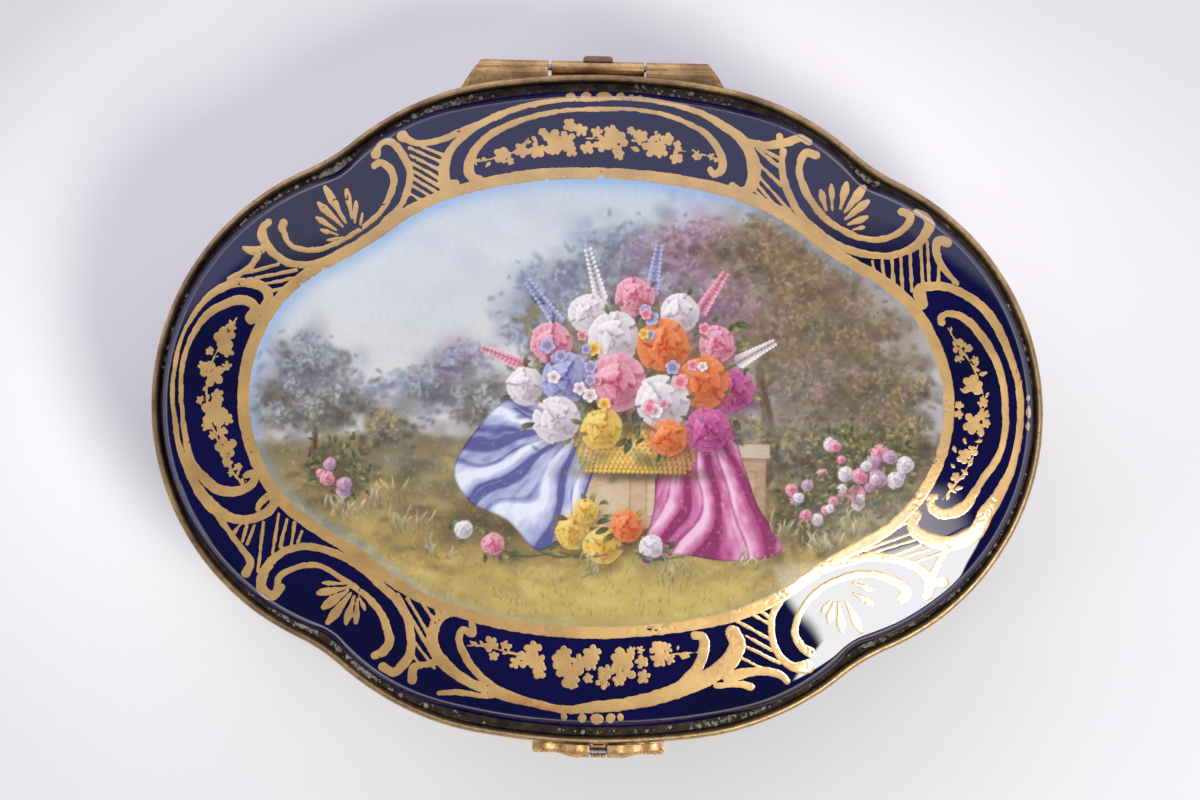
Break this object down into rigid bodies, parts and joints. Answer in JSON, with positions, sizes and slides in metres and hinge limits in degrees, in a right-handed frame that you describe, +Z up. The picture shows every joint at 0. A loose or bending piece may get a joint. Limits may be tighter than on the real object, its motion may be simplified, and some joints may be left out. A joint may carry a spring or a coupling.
{
  "type": "porcelain jewelry box",
  "caption": "Lobed oval porcelain jewelry box with a domed hinged lid, brass collars, and a small swinging hasp at the front.",
  "frame": {"origin": "middle of the box's outline, on the plane that its foot ring stands on", "axes": "+X along the long way to the right, +Y towards the hinge at the back, +Z up; the hasp is at -Y"},
  "size_m": [0.13, 0.1025, 0.0525],
  "materials": {
    "porcelain": "cobalt blue glaze, glossy",
    "plaster": "aged plaster with grime",
    "collar_brass": "aged gilt brass, satin",
    "clasp_gilt": "bright gilt casting",
    "stop_copper": "reddish aged brass",
    "pin_steel": "dull steel",
    "gilding": "fired gold, satin, slightly worn",
    "enamel_painting": "painted enamel under a clear glaze",
    "white_glaze": "white glaze, glossy"
  },
  "bodies": {
    "base": {"base_bowl": "porcelain", "base_plaster": "plaster", "base_collar": "collar_brass", "base_lip": "collar_brass", "hinge_middle_knuckle": "collar_brass", "hinge_middle_leaf": "collar_brass", "hinge_stop_tab": "stop_copper", "hinge_pin": "pin_steel", "catch_plate": "clasp_gilt", "catch_post": "clasp_gilt"},
    "lid": {"lid_dome": "porcelain", "lid_plaster": "plaster", "lid_collar": "collar_brass", "hinge_left_knuckle": "collar_brass", "hinge_left_leaf": "collar_brass", "hinge_right_knuckle": "collar_brass", "hinge_right_leaf": "collar_brass", "clasp_left_wing": "clasp_gilt", "clasp_right_wing": "clasp_gilt", "hasp_pin": "pin_steel"},
    "hasp": {"hasp": "clasp_gilt"}
  },
  "joints": [
    {"name": "lid_hinge", "type": "hinge", "parent": "base", "child": "lid", "pos_m": [-0.001, 0.0499, 0.036], "axis": [-1, 0, 0], "range_deg": [0, 100]},
    {"name": "hasp_swing", "type": "hinge", "parent": "lid", "child": "hasp", "pos_m": [0.0012, -0.04985, 0.0396], "axis": [-1, 0, 0], "range_deg": [0, 110]}
  ]
}
